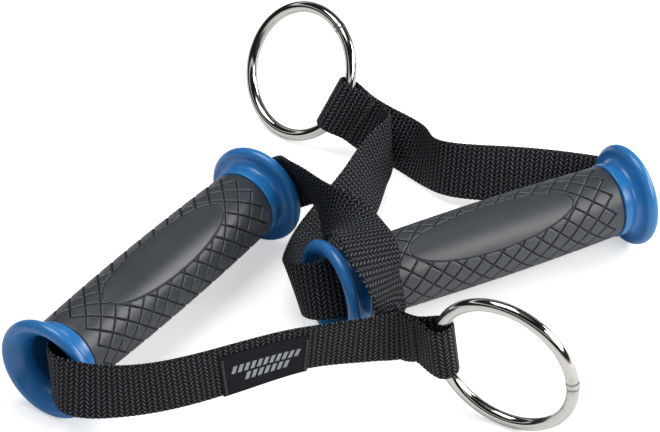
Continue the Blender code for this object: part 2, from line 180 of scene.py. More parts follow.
# Where each strap holds its ring: the pocket's place in lip radii, the way the strap leads
# away from the ring, the way the wire runs in the pocket, how far the ring has swung about
# the wire from the strap's own line, and where on the ring its weld is
POCKETS = {
    "left": {
        "place_share": (1.979, -5.905),
        "leads": (-0.855, 0.512, -0.086),
        "wire": (-0.125, -0.043, 0.991),
        "swing": math.radians(0.0),
        "weld": math.radians(180),
    },
    "right": {
        "place_share": (0.19, 2.389),
        "leads": (0.83, -0.432, -0.353),
        "wire": (0.461, 0.174, 0.87),
        "swing": math.radians(-24.0),
        "weld": math.radians(75),
    },
}

# Each strap leg from its mouth to its pocket, as a list of places that it passes.
# A place is what it is measured from, its offset from there in lip radii, and the way the
# strap's upper edge points there. The first entry is the way of that edge inside the tube, and
# the last is how far the leg runs tight against the other one behind the ring.
LEGS = {
    ("left", "near"): {
        "edge_in_tube": (-0.16, 0.12, 0.98),
        "place_shares": [
            ("mouth", (0.176, -0.217, 0.09), (-0.04, 0.07, 0.96)),
            ("mouth", (0.346, -0.477, 0.12), (-0.01, 0.20, 1.08)),
            ("mouth", (1.146, -0.657, 0.10), (-0.10, 0.09, 0.80)),
            ("halfway", (0.224, -0.196, 0.13), (0.03, -0.03, 0.75)),
            ("halfway", (1.134, 0.174, 0.14), (0.30, -0.08, 1.10)),
            ("pocket", (-1.06, 0.375, -0.078), (0.35, 0.03, 0.90)),
        ],
        "ply_run": 10.3 * MM,
    },
    ("left", "far"): {
        "edge_in_tube": (-0.33, 0.21, 0.92),
        "place_shares": [
            ("mouth", (0.280, 0.003, 0.077), (-0.48, 0.44, 0.76)),
            ("mouth", (0.639, -0.295, 0.435), (-0.47, 0.44, 0.76)),
            ("mouth", (0.739, -0.432, 0.521), (-0.41, 0.09, 0.91)),
            ("crossing", (-0.458, 1.001, -0.026), (0.36, 0.43, 0.83)),
            ("crossing", (0.014, 0.065, 0.339), (0.97, 0.23, -0.10)),
            ("crossing", (0.451, -0.864, -0.232), (0.15, 0.86, 0.48)),
            ("pocket", (-0.786, 1.345, -0.347), (0.15, 0.19, 0.97)),
        ],
        "ply_run": 4.8 * MM,
    },
    ("right", "far"): {
        "edge_in_tube": (-0.22, 0.44, 0.87),
        "place_shares": [
            ("mouth", (-0.09, 0.251, -0.15), (-0.06, 0.50, 0.79)),
            ("mouth", (-0.11, 0.541, -0.27), (-0.07, 0.49, 0.81)),
            ("mouth", (-0.36, 0.851, -0.41), (0.02, 0.47, 0.82)),
            ("halfway", (0.685, -0.414, -0.351), (0.0, 0.50, 0.84)),
            ("pocket", (1.87, -1.559, -0.392), (-0.05, 0.35, 0.78)),
            ("pocket", (1.52, -0.919, -0.492), (0.33, 0.40, 1.01)),
        ],
        "ply_run": 10.3 * MM,
    },
    ("right", "near"): {
        "edge_in_tube": (-0.22, 0.44, 0.87),
        "place_shares": [
            ("mouth", (-0.26, 0.129, -0.05), (-0.25, 0.40, 0.93)),
            ("mouth", (-0.51, 0.339, -0.17), (-0.25, 0.33, 0.76)),
            ("mouth", (-0.49, 1.149, -0.44), (-0.46, 0.57, 0.76)),
            ("halfway", (-0.18, -0.655, -0.551), (-0.67, 0.27, 0.67)),
            ("halfway", (0.49, 0.465, -0.311), (-0.57, 0.45, 0.78)),
            ("pocket", (0.68, -1.779, -0.262), (-0.34, -0.06, 0.58)),
            ("pocket", (0.94, -1.149, -0.242), (-0.07, 0.49, 1.11)),
            ("pocket", (0.99, -0.679, -0.272), (0.02, -0.14, 1.13)),
        ],
        "ply_run": 10.3 * MM,
    },
}

# How deep in the tube each strap's line is fixed, in lip radii from the rim, and how far from
# its near rim the right handle is crossed by the left strap
TUBE_KNOT_SHARES = (0.6, 1.2, 2.1)
CROSSING_FROM_RIM = 17.0 * MM

# How finely a strap's fold and its whole loop are read
FOLD_KNOTS = 9
LOOP_SAMPLES = 3000

# Which end of each handle the strap leaves first on its way round the loop
FIRST_END = {"left": "near", "right": "far"}

# Meshes: corners closer than this become one, and edges sharper than this stay sharp
MERGE_DISTANCE = 0.02 * MM
SHARP_ANGLE = math.radians(50)

# Stage: the floor's side, the camera's film, and each lamp's place, side and colour. A lamp's
# power is the stage setting of its name
FLOOR_SIDE = 8.0
FILM_WIDTH_MM = 36
LAMPS = {
    "key": {"place": (0.85, -0.5, 0.62), "side": 0.6, "colour": (1.0, 0.99, 0.97)},
    "side": {"place": (1.0, 0.22, 0.5), "side": 0.45, "colour": (1.0, 1.0, 1.0)},
    "fill": {"place": (-0.25, 0.1, 1.15), "side": 0.7, "colour": (0.96, 0.98, 1.0)},
}

# What polished metal mirrors in the room, as heights of a ray from level to overhead and greys
ROOM_BANDS = (
    (0.0, 0.5), (0.05, 0.02), (0.38, 0.015), (0.43, 0.8), (0.48, 0.9), (0.52, 0.02), (0.90, 0.01),
    (1.0, 0.25),
)

# What every setting that is a colour has in common
COLOUR = {"subtype": "COLOR", "size": 3, "min": 0, "max": 1}


def unit(vector):
    """The vector at length one."""
    vector = np.asarray(vector, dtype=float)
    return vector / np.linalg.norm(vector)


def turned(vector, axis, angle):
    """The vector turned about an axis through the origin."""
    return np.array(Matrix.Rotation(angle, 3, Vector(axis)) @ Vector(vector))


def arc(centre, radius, start, end, steps):
    """Points (along, out) on an arc, both ends included."""
    angles = np.linspace(start, end, steps + 1)
    return [(centre[0] + radius * math.cos(a), centre[1] + radius * math.sin(a)) for a in angles]


def ease(start, corner, end, steps):
    """Points after the start on a curve that leaves and arrives along the lines to the corner."""
    shares = [(i + 1) / steps for i in range(steps)]
    return [
        tuple((1 - s) ** 2 * a + 2 * s * (1 - s) * b + s ** 2 * c for a, b, c in zip(start, corner, end))
        for s in shares
    ]


def handle_axis(side):
    """Unit vector along a handle, from its near end to its far end."""
    yaw = HANDLES[side]["yaw"]
    return np.array([math.cos(yaw), math.sin(yaw), 0])


def handle_middle(side):
    """Middle of a handle, lying on its two rims."""
    across, away = HANDLES[side]["middle_share"]
    return np.array([across * LIP_RADIUS, away * LIP_RADIUS, LIP_RADIUS])


def mouth(side, end):
    """Centre of a flange's rim plane, and the way out of it."""
    out = handle_axis(side) * (-1 if end == "near" else 1)
    return handle_middle(side) + out * HANDLE_LENGTH / 2, out


def pocket(side):
    """The strap's fold round the ring: its axis point and directions, and the ring's own place."""
    place = POCKETS[side]
    wire = unit(place["wire"])
    leads = np.array(place["leads"])
    leads = unit(leads - leads.dot(wire) * wire)
    spoke = turned(leads, wire, place["swing"])
    normal = np.cross(wire, spoke)
    reach = RING_RADIUS - WIRE_SAG / 2
    ring_height = RING_RADIUS * math.sqrt(1 - normal[2] ** 2) + RING_WIRE_RADIUS
    across, away = place["place_share"]
    point = np.array([across * LIP_RADIUS, away * LIP_RADIUS, ring_height + spoke[2] * reach])
    return {
        "point": point, "wire": wire, "leads": leads, "spoke": spoke,
        "normal": normal, "ring_centre": point - spoke * reach,
    }


def crossing():
    """Where the left strap lies over the right handle: on top of the grip, near its near rim."""
    rim, out = mouth("right", "near")
    return rim - out * CROSSING_FROM_RIM + np.array([0, 0, GRIP_MIDDLE_RADIUS])


def leg_knots(side, end, ply):
    """Places and edge directions along one leg of a strap, from inside the tube to its pocket."""
    rim, out = mouth(side, end)
    hold = pocket(side)
    leg = LEGS[side, end]
    origins = {
        "mouth": rim,
        "pocket": hold["point"],
        "halfway": (rim + hold["point"]) / 2,
        "crossing": crossing(),
    }
    places = [rim - out * share * LIP_RADIUS for share in reversed(TUBE_KNOT_SHARES)]
    edges = [leg["edge_in_tube"]] * len(places)
    for name, offset_share, edge in leg["place_shares"]:
        places.append(origins[name] + np.array(offset_share) * LIP_RADIUS)
        edges.append(edge)
    beside = ply * PLY_OFFSET * np.cross(hold["leads"], hold["wire"])
    for setback in (PLY_MEETING_SETBACK + leg["ply_run"], PLY_MEETING_SETBACK):
        places.append(hold["point"] + setback * hold["leads"] + beside)
        edges.append(hold["wire"])
    return places, edges


def fold_knots(side):
    """Places round the ring's wire, from the ply at -1 to the ply at +1."""
    hold = pocket(side)
    beside = np.cross(hold["leads"], hold["wire"])
    reach = math.hypot(PLY_MEETING_SETBACK, PLY_OFFSET)
    tangent = math.acos(POCKET_RADIUS / reach) + math.atan2(PLY_OFFSET, PLY_MEETING_SETBACK)
    angles = np.linspace(-tangent, tangent - math.tau, FOLD_KNOTS)
    places = [
        hold["point"] + POCKET_RADIUS * (math.cos(a) * hold["leads"] + math.sin(a) * beside)
        for a in angles
    ]
    return places, [hold["wire"]] * len(places)


def closed_spline(knots, times, period, samples):
    """Read a smooth closed curve through the knots at the sample times."""
    count = len(knots)
    steps = np.diff(np.append(times, period))
    before = np.roll(steps, 1)
    slopes = (np.roll(knots, -1, axis=0) - knots) / steps[:, None]
    system = np.zeros((count, count))
    for i in range(count):
        system[i, i - 1] += before[i]
        system[i, i] += 2 * (before[i] + steps[i])
        system[i, (i + 1) % count] += steps[i]
    bends = np.linalg.solve(system, 6 * (slopes - np.roll(slopes, 1, axis=0)))
    index = np.searchsorted(times, samples, side="right") - 1
    after = (index + 1) % count
    step = steps[index][:, None]
    here = ((samples - times[index]) / steps[index])[:, None]
    there = 1 - here
    curve = there * knots[index] + here * knots[after]
    bow = (there ** 3 - there) * bends[index] + (here ** 3 - here) * bends[after]
    return curve + bow * step ** 2 / 6


def strap_path(side):
    """Finely sampled middle line of a strap's loop, with its edge and face directions."""
    first = FIRST_END[side]
    second = "far" if first == "near" else "near"
    going, going_edges = leg_knots(side, first, -1)
    round_wire, round_edges = fold_knots(side)
    coming, coming_edges = leg_knots(side, second, 1)
    knots = np.array(going + round_wire + coming[::-1])
    edges = np.array([unit(e) for e in going_edges + round_edges + coming_edges[::-1]])
    lengths = np.linalg.norm(np.roll(knots, -1, axis=0) - knots, axis=1)
    times = np.concatenate([[0], np.cumsum(lengths)[:-1]])
    period = lengths.sum()
    samples = np.linspace(0, period, LOOP_SAMPLES, endpoint=False)
    line = closed_spline(knots, times, period, samples)
    along = np.roll(line, -1, axis=0) - np.roll(line, 1, axis=0)
    along /= np.linalg.norm(along, axis=1)[:, None]
    edge = closed_spline(edges, times, period, samples)
    edge -= (edge * along).sum(axis=1)[:, None] * along
    edge /= np.linalg.norm(edge, axis=1)[:, None]
    steps = np.linalg.norm(np.roll(line, -1, axis=0) - line, axis=1)
    run = np.concatenate([[0], np.cumsum(steps)[:-1]])
    return {
        "line": line, "along": along, "edge": edge, "face": np.cross(along, edge),
        "run": run, "length": steps.sum(),
    }


def run_nearest(path, point):
    """Distance along the loop at which a strap passes closest to a point."""
    return path["run"][np.argmin(np.linalg.norm(path["line"] - point, axis=1))]


def pile_shift():
    """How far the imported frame's origin lies from the one that the routes are written in."""
    spin = next(j for j in frame["joints"] if j["name"] == "left_handle_spin")
    return np.array(spin["pos_m"]) - handle_middle("left")


class Look(bpy.types.PropertyGroup):
    """Sizes and colours of the finished surfaces."""
    rubber_colour: bpy.props.FloatVectorProperty(
        name="Rubber", description="Colour of the grips",
        default=(0.031, 0.036, 0.044), **COLOUR,
    )
    flange_colour: bpy.props.FloatVectorProperty(
        name="Flange", description="Colour of the flanges",
        default=(0.020, 0.186, 0.505), **COLOUR,
    )
    # At full strength this is the painted highlight on the yarn tops; at a third, the yarns' own dark
    # tone
    yarn_and_glint_colour: bpy.props.FloatVectorProperty(
        name="Yarn", description="Colour of the webbing on top of its yarns",
        default=(0.145, 0.158, 0.178), **COLOUR,
    )
    # Painted shade in the hollows between the yarns of the webbing
    weave_gap_shade_colour: bpy.props.FloatVectorProperty(
        name="Weave gap", description="Colour between the yarns of the webbing",
        default=(0.0022, 0.0026, 0.0034), **COLOUR,
    )
    steel_colour: bpy.props.FloatVectorProperty(
        name="Steel", description="Colour of the plated rings",
        default=(0.61, 0.59, 0.555), **COLOUR,
    )
    label_ink_colour: bpy.props.FloatVectorProperty(
        name="Label ink", description="Colour of the motif on the label",
        default=(0.42, 0.44, 0.46), **COLOUR,
    )
    label_ground_colour: bpy.props.FloatVectorProperty(
        name="Label ground", description="Colour of the label between its threads",
        default=(0.004, 0.0045, 0.006), **COLOUR,
    )
    label_yarn_colour: bpy.props.FloatVectorProperty(
        name="Label yarn", description="Colour of the label on top of its threads",
        default=(0.016, 0.018, 0.022), **COLOUR,
    )
    thread_colour: bpy.props.FloatVectorProperty(
        name="Thread", description="Colour of the sewing thread",
        default=(0.045, 0.047, 0.052), **COLOUR,
    )
    diamond_pitch: bpy.props.FloatProperty(
        name="Diamond pitch", description="Length of one diamond of the grip along its axis",
        unit="LENGTH", default=9.79 * MM,
    )
    diamonds_along: bpy.props.IntProperty(
        name="Diamonds along", description="Diamonds in a row along the grip", min=1, default=12,
    )
    diamonds_around: bpy.props.IntProperty(
        name="Diamonds around", description="Diamonds round the grip", min=4, default=12,
    )
    groove_width: bpy.props.FloatProperty(
        name="Groove width", description="Width of the grooves in the grip",
        unit="LENGTH", default=0.9 * MM,
    )
    groove_depth: bpy.props.FloatProperty(
        name="Groove depth", description="Depth of the grooves in the grip",
        unit="LENGTH", default=0.7 * MM,
    )
    column_pitch: bpy.props.FloatProperty(
        name="Weave column", description="Pitch of the weave's columns along the strap",
        unit="LENGTH", default=2.2 * MM,
    )
    dash_pitch: bpy.props.FloatProperty(
        name="Yarn pitch", description="Pitch of the yarns across the strap",
        unit="LENGTH", default=1.95 * MM,
    )
    weave_window: bpy.props.FloatProperty(
        name="Weave window", description="Stretch of strap over which the columns stay parallel",
        unit="LENGTH", default=22.0 * MM,
    )
    rib_height: bpy.props.FloatProperty(
        name="Rib height", description="How far the weave's columns stand out",
        unit="LENGTH", default=0.22 * MM,
    )


class StageLook(bpy.types.PropertyGroup):
    """Camera, floor and lamps."""
    camera_distance: bpy.props.FloatProperty(
        name="Distance", description="From the camera to the point that it looks at",
        unit="LENGTH", default=1.2167,
    )
    camera_elevation: bpy.props.FloatProperty(
        name="Elevation", description="How far the camera looks down", subtype="ANGLE",
        default=math.radians(35.1),
    )
    focal_length: bpy.props.FloatProperty(
        name="Focal length", description="Camera's focal length in millimetres", default=146.35,
    )
    floor_colour: bpy.props.FloatVectorProperty(
        name="Floor", description="Colour of the floor",
        default=(0.90, 0.90, 0.90), **COLOUR,
    )
    floor_glow: bpy.props.FloatProperty(
        name="Floor glow", description="Light that only the camera sees on the floor", default=0.52,
    )
    room_light: bpy.props.FloatProperty(
        name="Room light", description="Strength of the even light of the room", default=0.34,
    )
    key_power: bpy.props.FloatProperty(
        name="Key lamp", description="Power of the main lamp in watts", default=5.6,
    )
    side_power: bpy.props.FloatProperty(
        name="Side lamp", description="Power of the lamp to the right in watts", default=6.0,
    )
    fill_power: bpy.props.FloatProperty(
        name="Fill lamp", description="Power of the lamp overhead in watts", default=7.2,
    )


class Signal:
    """A number in a shader that takes part in sums like any other number."""

    def __init__(self, recipe, socket):
        self.recipe = recipe
        self.socket = socket

    def __add__(self, other):
        return self.recipe.sum("ADD", self, other)

    def __radd__(self, other):
        return self.recipe.sum("ADD", other, self)

    def __sub__(self, other):
        return self.recipe.sum("SUBTRACT", self, other)

    def __rsub__(self, other):
        return self.recipe.sum("SUBTRACT", other, self)

    def __mul__(self, other):
        return self.recipe.sum("MULTIPLY", self, other)

    def __rmul__(self, other):
        return self.recipe.sum("MULTIPLY", other, self)

    def __truediv__(self, other):
        return self.recipe.sum("DIVIDE", self, other)

    def __pow__(self, other):
        return self.recipe.sum("POWER", self, other)

    def __mod__(self, other):
        return self.recipe.sum("FLOORED_MODULO", self, other)

    def __abs__(self):
        return self.recipe.sum("ABSOLUTE", self)


class Graph:
    """A tree of shader nodes being put together."""

    def __init__(self, tree):
        self.tree = tree

    def node(self, kind, settings=None, values=None):
        """A node of one type, its settings first and then the values or links of its sockets."""
        made = self.tree.nodes.new(kind)
        for name, setting in (settings or {}).items():
            if name == "stops":
                self.set_stops(made.color_ramp.elements, setting)
            else:
                setattr(made, name, setting)
        for name, value in (values or {}).items():
            self.feed(made.inputs[name], value)
        return made

    def set_stops(self, elements, stops):
        """Give a ramp its stops, each a position and a level of grey."""
        while len(elements) < len(stops):
            elements.new(0.5)
        for element, (position, level) in zip(elements, stops):
            element.position = position
            element.color = (level, level, level, 1)

    def feed(self, socket, value):
        """Set a socket, or link a signal into it."""
        if isinstance(value, Signal):
            value = value.socket
        if isinstance(value, bpy.types.NodeSocket):
            self.tree.links.new(value, socket)
        else:
            socket.default_value = value


class Recipe(Graph):
    """A material being put together from nodes."""

    def __init__(self, name, **settings):
        self.material = bpy.data.materials.new(name)
        self.material.use_nodes = True
        super().__init__(self.material.node_tree)
        self.surface = self.tree.nodes["Principled BSDF"]
        for socket, value in settings.items():
            self.surface.inputs[socket.replace("_", " ")].default_value = value

    def sum(self, operation, *terms):
        """One Math node."""
        made = self.node("ShaderNodeMath", {"operation": operation}, dict(enumerate(terms)))
        return Signal(self, made.outputs[0])

    def between(self, value, low, high):
        """A smooth step from 0 at the low value to 1 at the high one."""
        made = self.node(
            "ShaderNodeMapRange", {"interpolation_type": "SMOOTHSTEP"},
            {"Value": value, "From Min": low, "From Max": high},
        )
        return Signal(self, made.outputs[0])

    def largest(self, first, second):
        """The larger of two numbers."""
        return self.sum("MAXIMUM", first, second)

    def blend(self, share, first, second):
        """A colour between two colours."""
        made = self.node("ShaderNodeMix", {"data_type": "RGBA"}, {0: share, 6: first, 7: second})
        return Signal(self, made.outputs[2])

    def places(self, output="Object"):
        """Texture coordinates of one kind."""
        return self.node("ShaderNodeTexCoord").outputs[output]

    def speckle(self, scale, detail=2.0, roughness=0.5, stretch=(1, 1, 1)):
        """Noise from 0 to 1 in object space."""
        spread = self.node(
            "ShaderNodeMapping", None, {"Vector": self.places(), "Scale": stretch},
        )
        made = self.node(
            "ShaderNodeTexNoise", None,
            {"Vector": spread.outputs[0], "Scale": scale, "Detail": detail, "Roughness": roughness},
        )
        return Signal(self, made.outputs[0])

    def flat_places(self):
        """The two numbers of the piece's own UV map."""
        parts = self.node("ShaderNodeSeparateXYZ", None, {0: self.places("UV")})
        return Signal(self, parts.outputs[0]), Signal(self, parts.outputs[1])

    def mark(self, name):
        """A named number that the piece's mesh carries."""
        return Signal(self, self.node("ShaderNodeAttribute", {"attribute_name": name}).outputs["Fac"])

    def emboss(self, height, distance, strength):
        """A bump that feeds the surface's normal."""
        values = {"Height": height, "Distance": distance, "Strength": strength}
        made = self.node("ShaderNodeBump", None, values)
        self.feed(self.surface.inputs["Normal"], made.outputs[0])

    def paint(self, socket, value):
        """Feed one of the surface's own sockets."""
        self.feed(self.surface.inputs[socket], value)


def tint(colour, factor=1.0):
    """A colour as four numbers, made lighter or darker."""
    return tuple(min(1.0, c * factor) for c in colour) + (1.0,)


def groove_slope(look):
    """How many groove lines are crossed for each metre moved square to them."""
    around = look.diamonds_around / (math.tau * GRIP_MIDDLE_RADIUS)
    return math.hypot(1 / look.diamond_pitch, around)


def rubber_material(name, look):
    """Moulded rubber: fine grain, sharp diamond grooves with a raised brim, and a smooth panel; painted
    shade in the grooves and a painted highlight on the brims.
    """
    recipe = Recipe(name, Specular_IOR_Level=0.8)
    along, around = recipe.flat_places()
    reach = look.groove_width / 2 * groove_slope(look)
    groove, brim = 0.0, 0.0
    for line in (along + around, along - around):
        off_line = abs(line - recipe.sum("ROUND", line))
        groove_fade, brim_fade = (
            recipe.between(off_line, outer * reach, inner * reach)
            for outer, inner in (GROOVE_FADE, BRIM_FADE)
        )
        groove = recipe.largest(groove, groove_fade)
        brim = recipe.largest(brim, brim_fade)
    limit = look.diamonds_along / 2
    drawn = recipe.between(abs(along), limit + reach, limit + reach * 0.5)
    beyond_mm = recipe.mark("beyond_panel")
    patterned = recipe.between(beyond_mm, -0.1, 0.3) * drawn
    off_outline_mm = abs(beyond_mm - PANEL_LINE_OFFSET / MM)
    groove = recipe.largest(groove * patterned, recipe.between(off_outline_mm, 0.55, 0.2) * 0.8)
    brim = recipe.largest(brim * patterned, recipe.between(off_outline_mm, 1.2, 0.6))
    cloud = recipe.speckle(scale=55.0, detail=3.0)
    grain = recipe.speckle(scale=2600.0)
    dust = recipe.between(recipe.speckle(scale=700.0, detail=4.0, roughness=0.7), 0.66, 0.78)
    plain = recipe.blend(cloud, tint(look.rubber_colour, 0.80), tint(look.rubber_colour, 1.25))
    # Brims are made lighter as a painted highlight where they catch the light; dust spots lighten too,
    # as real dust
    dusted_and_highlit = recipe.blend(brim * 0.35 + dust * 0.25, plain, tint(look.rubber_colour, 2.6))
    # Grooves and the fine line round the panel take a dark copy of the rubber: painted shade in the
    # hollows
    recipe.paint("Base Color", recipe.blend(groove, dusted_and_highlit, tint(look.rubber_colour, 0.16)))
    recipe.paint("Roughness", 0.36 + cloud * 0.10 + grain * 0.06 + groove * 0.3)
    height = brim * 0.35 - groove + grain * 0.03
    recipe.emboss(height, distance=0.30 * MM, strength=0.85)
    return recipe.material


def flange_material(name, colour):
    """Glossy moulded plastic with a faint orange peel."""
    recipe = Recipe(name, Roughness=0.3, Coat_Weight=0.35, Coat_Roughness=0.22)
    cloud = recipe.speckle(scale=70.0)
    peel = recipe.speckle(scale=900.0, detail=1.0)
    scuffs = recipe.speckle(scale=420.0, detail=4.0, roughness=0.6, stretch=(1, 1, 6))
    scuff = recipe.between(scuffs, 0.62, 0.80)
    recipe.paint("Base Color", recipe.blend(cloud, tint(colour, 0.88), tint(colour, 1.14)))
    recipe.paint("Roughness", 0.27 + cloud * 0.08 + scuff * 0.08)
    recipe.emboss(peel, distance=0.05 * MM, strength=0.25)
    return recipe.material


def tube_material(name, colour):
    """Plain plastic of the core tube: the flange blue darkened to between a half and seven tenths,
    painted shade for the deep blue seen down the mouths.
    """
    recipe = Recipe(name, Roughness=0.5)
    cloud = recipe.speckle(scale=160.0, detail=3.0)
    # The darker copy of the flange blue is painted shade down the bore
    recipe.paint("Base Color", recipe.blend(cloud, tint(colour, 0.5), tint(colour, 0.7)))
    recipe.emboss(recipe.speckle(scale=1500.0), distance=0.05 * MM, strength=0.3)
    return recipe.material


def steel_material(name, colour):
    """Bright plate on wire, with faint draw marks, a few dull spots and a dull seam at the weld."""
    recipe = Recipe(name, Metallic=1.0)
    cloud = recipe.speckle(scale=130.0, detail=4.0)
    fine = recipe.speckle(scale=1800.0, detail=3.0)
    dull = recipe.between(cloud, 0.58, 0.78)
    seam = recipe.mark("weld_seam")
    plate = recipe.blend(dull, tint(colour, 1.08), tint(colour, 0.85))
    recipe.paint("Base Color", recipe.blend(seam, plate, tint(colour, 0.25)))
    recipe.paint("Roughness", 0.07 + dull * 0.08 + fine * 0.04 + seam * 0.3)
    recipe.emboss(fine, distance=0.03 * MM, strength=0.15)
    return recipe.material


def webbing_material(name, look):
    """Chevron weave: columns of slanted yarns that lean the other way in every second column."""
    recipe = Recipe(name, Specular_IOR_Level=0.16)
    column, around = recipe.flat_places()
    across = 1 - 4 * abs(around - 0.5)
    dashes = WEBBING_WIDTH / 2 / look.dash_pitch
    index = recipe.sum("FLOOR", column)
    lean = 1 - 2 * (index % 2)
    inside = column - index - 0.5
    turn = across * dashes + lean * inside * 1.3
    yarn = 1 - abs(recipe.sum("COSINE", turn * math.pi)) ** 1.6
    column_rise = (1 - (abs(inside) * 2) ** 2) ** 1.2
    height = yarn * column_rise
    fuzz = recipe.speckle(scale=3000.0, detail=3.0)
    patch = recipe.speckle(scale=38.0)
    # The glint paints a highlight in the full yarn colour on the yarn tops, broken up by fuzz and
    # patches
    glint = recipe.between(height, 0.35, 0.95) * (0.55 + fuzz * 0.8) * (0.55 + patch * 0.8)
    # Between the yarns the colour sinks to the gap colour, painted shade in the hollows; on the yarns it
    # is a third of the yarn colour, their own tone
    dark = recipe.blend(height, tint(look.weave_gap_shade_colour), tint(look.yarn_and_glint_colour, 0.3))
    recipe.paint("Base Color", recipe.blend(glint, dark, tint(look.yarn_and_glint_colour)))
    recipe.paint("Roughness", 0.62 - height * 0.2)
    recipe.emboss(height + fuzz * 0.12, distance=0.5 * MM, strength=1.0)
    return recipe.material


def thread_material(name, colour):
    """Twisted sewing thread."""
    twists = 140
    recipe = Recipe(name, Roughness=0.5, Sheen_Weight=0.1)
    along, around = recipe.flat_places()
    twist = abs(recipe.sum("SINE", (along * twists + around) * math.pi))
    recipe.paint("Base Color", recipe.blend(twist, tint(colour, 0.35), tint(colour, 1.3)))
    recipe.emboss(twist, distance=0.12 * MM, strength=0.8)
    return recipe.material


def label_material(name, look):
    """Woven label: a dense satin ground with two plain rows of slanted bars."""
    recipe = Recipe(name, Roughness=0.65, Specular_IOR_Level=0.12)
    along, around = recipe.flat_places()
    across = 1 - 4 * abs(around - 0.5)
    weft = abs(recipe.sum("SINE", across * (LABEL_HEIGHT / LABEL_WEFT_PITCH) * math.pi))
    warp = abs(recipe.sum("SINE", along * (LABEL_LENGTH / LABEL_WARP_PITCH) * math.pi))
    weave = weft * 0.6 + warp * 0.4
    ink = 0.0
    for row, start, stop, bars in LABEL_ROWS:
        slant = (along - start - (across - row) * BAR_SLANT) / (stop - start)
        off_bar = abs(slant * bars - recipe.sum("FLOOR", slant * bars) - 0.5)
        bar = recipe.between(off_bar, *BAR_FADE)
        span = recipe.between(abs(slant - 0.5), 0.5, 0.49)
        band = recipe.between(abs(across - row), *ROW_FADE)
        ink = recipe.largest(ink, bar * span * band)
    ground = recipe.blend(weave, tint(look.label_ground_colour), tint(look.label_yarn_colour))
    printed = tint(look.label_ink_colour)
    recipe.paint("Base Color", recipe.blend(ink * (0.65 + weave * 0.35), ground, printed))
    recipe.emboss(weave * 0.6 + ink * 0.8, distance=0.12 * MM, strength=0.6)
    return recipe.material


def floor_material(look):
    """Pale floor that keeps the object's shadow and turns white in the open."""
    recipe = Recipe("pale_floor", Roughness=0.9, Specular_IOR_Level=0.1, Emission_Strength=1.0)
    recipe.paint("Base Color", tint(look.floor_colour))
    seen = recipe.node("ShaderNodeLightPath").outputs["Is Camera Ray"]
    glow = recipe.blend(seen, (0, 0, 0, 1), tint((1, 1, 1), look.floor_glow))
    recipe.paint("Emission Color", glow)
    return recipe.material


def only(piece):
    """Make one object the active and only selected one."""
    bpy.ops.object.select_all(action="DESELECT")
    piece.select_set(True)
    bpy.context.view_layer.objects.active = piece


def write_chart(mesh, across, down):
    """Write two numbers per vertex into the mesh's UV map."""
    corners = np.empty(len(mesh.loops), dtype=np.int32)
    mesh.loops.foreach_get("vertex_index", corners)
    flat = np.stack([across[corners], down[corners]], axis=1)
    mesh.uv_layers.active.data.foreach_set("uv", flat.ravel())


def shaped_grid(name, place, along, around, chart=None, marks=None):
    """A grid of faces along and around, laid over a closed surface.

    place() turns two shares, along and around, into points; chart() turns them into the numbers
    of the UV map, and marks() into named numbers that the material reads.
    """
    bpy.ops.object.select_all(action="DESELECT")
    bpy.ops.mesh.primitive_grid_add(x_subdivisions=along, y_subdivisions=around, size=1)
    piece = bpy.context.active_object
    piece.name = name
    mesh = piece.data
    mesh.name = name
    flat = np.empty(len(mesh.vertices) * 3)
    mesh.vertices.foreach_get("co", flat)
    flat = flat.reshape(-1, 3)
    shares = np.clip(flat[:, 0] + 0.5, 0, 1), np.clip(flat[:, 1] + 0.5, 0, 1)
    mesh.vertices.foreach_set("co", np.ascontiguousarray(place(*shares), dtype=float).ravel())
    if chart:
        write_chart(mesh, *chart(*shares))
    for mark, values in (marks(*shares) if marks else {}).items():
        mesh.attributes.new(mark, "FLOAT", "POINT").data.foreach_set("value", values)
    mesh.update()
    only(piece)
    bpy.ops.object.mode_set(mode="EDIT")
    bpy.ops.mesh.select_all(action="SELECT")
    bpy.ops.mesh.remove_doubles(threshold=MERGE_DISTANCE)
    bpy.ops.mesh.normals_make_consistent(inside=False)
    bpy.ops.object.mode_set(mode="OBJECT")
    bpy.ops.object.shade_smooth_by_angle(angle=SHARP_ANGLE)
    return piece


def finish_piece(piece, material, body, slot, *nodes):
    """Give a piece its material, its body and the nodes that it stands for."""
    piece.data.materials.clear()
    piece.data.materials.append(material)
    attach(piece, body)
    if nodes:
        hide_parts(*nodes)


def around_axis(side, along, out, angle):
    """Points at a distance along a handle's axis, a distance out from it and an angle round it."""
    axis = handle_axis(side)
    level = np.array([-axis[1], axis[0], 0.0])
    up = np.array([0.0, 0.0, 1.0])
    spoke = np.cos(angle)[:, None] * level + np.sin(angle)[:, None] * up
    return handle_middle(side) + pile_shift() + along[:, None] * axis + out[:, None] * spoke


def groove_lines(look, side, x, angle):
    """How far a point of the grip lies from the nearest groove of each of the two families."""
    turn = look.diamonds_around * (angle - PANEL_FACES[side] - PANEL_TO_TIP) / math.tau
    lines = (x / look.diamond_pitch + turn, x / look.diamond_pitch - turn)
    return [np.abs(line - np.round(line)) / groove_slope(look) for line in lines]


def beyond_panel(side, x, angle):
    """How far a point of the grip lies outside the outline of the smooth panel."""
    smallest_size = 0.2
    low, high = (share * HANDLE_LENGTH for share in PANEL_SPAN_SHARES)
    reach, half_width = (high - low) / 2, PANEL_HALF_ANGLE * GRIP_MIDDLE_RADIUS
    turn = (angle - PANEL_FACES[side] + math.pi) % math.tau - math.pi
    share = np.abs(x - (low + high) / 2) / reach
    sideways = np.abs(turn) * GRIP_MIDDLE_RADIUS / half_width
    size = np.maximum(np.hypot(share, sideways), smallest_size)
    steepness = np.hypot(share / reach, sideways / half_width) / size
    return (size - 1) / steepness


